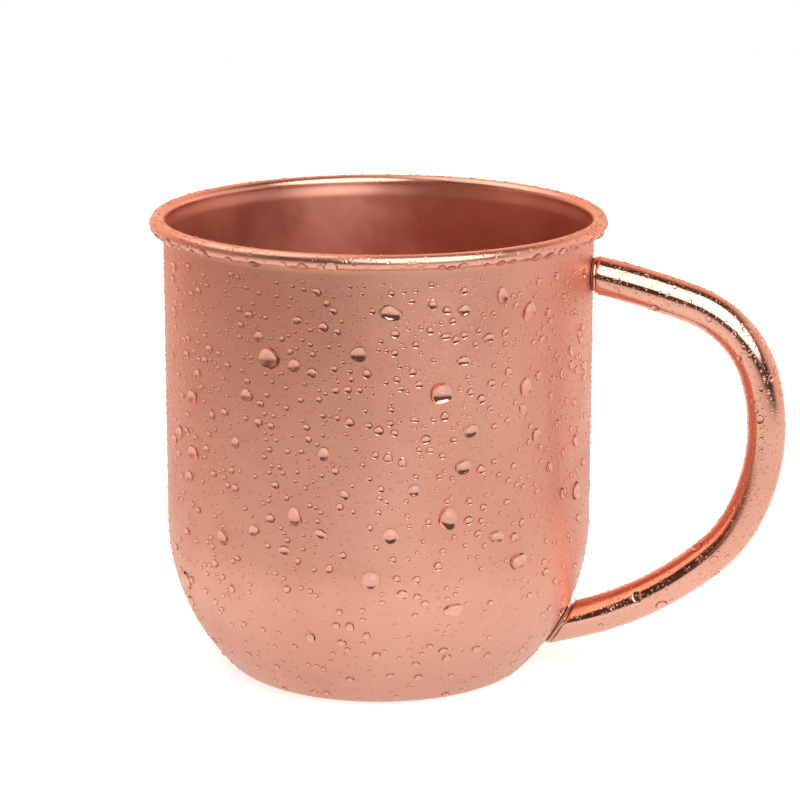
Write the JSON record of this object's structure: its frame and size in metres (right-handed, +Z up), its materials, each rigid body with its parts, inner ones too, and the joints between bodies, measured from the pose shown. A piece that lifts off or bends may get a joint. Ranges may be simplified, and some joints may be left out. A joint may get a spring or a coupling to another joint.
{
  "type": "copper mug",
  "caption": "Round-bottomed copper drinking mug with a straight wall, a rolled rim, a flat base and a bent tube handle brazed on at both ends.",
  "frame": {"origin": "middle of the flat base, on the plane the mug stands on", "axes": "+Z up through the mouth along the cup's axis; +X from the cup's axis towards the handle; +Y completes a right-handed frame"},
  "size_m": [0.1292, 0.0924, 0.0945],
  "materials": {
    "satin_copper": "satin",
    "polished_copper": "gloss",
    "braze": "satin",
    "water": "gloss"
  },
  "bodies": {
    "root": {"cup_shell": "satin_copper", "handle_tube": "polished_copper", "upper_end_plug": "polished_copper", "lower_end_plug": "polished_copper", "upper_braze": "braze", "lower_braze": "braze"}
  },
  "joints": []
}
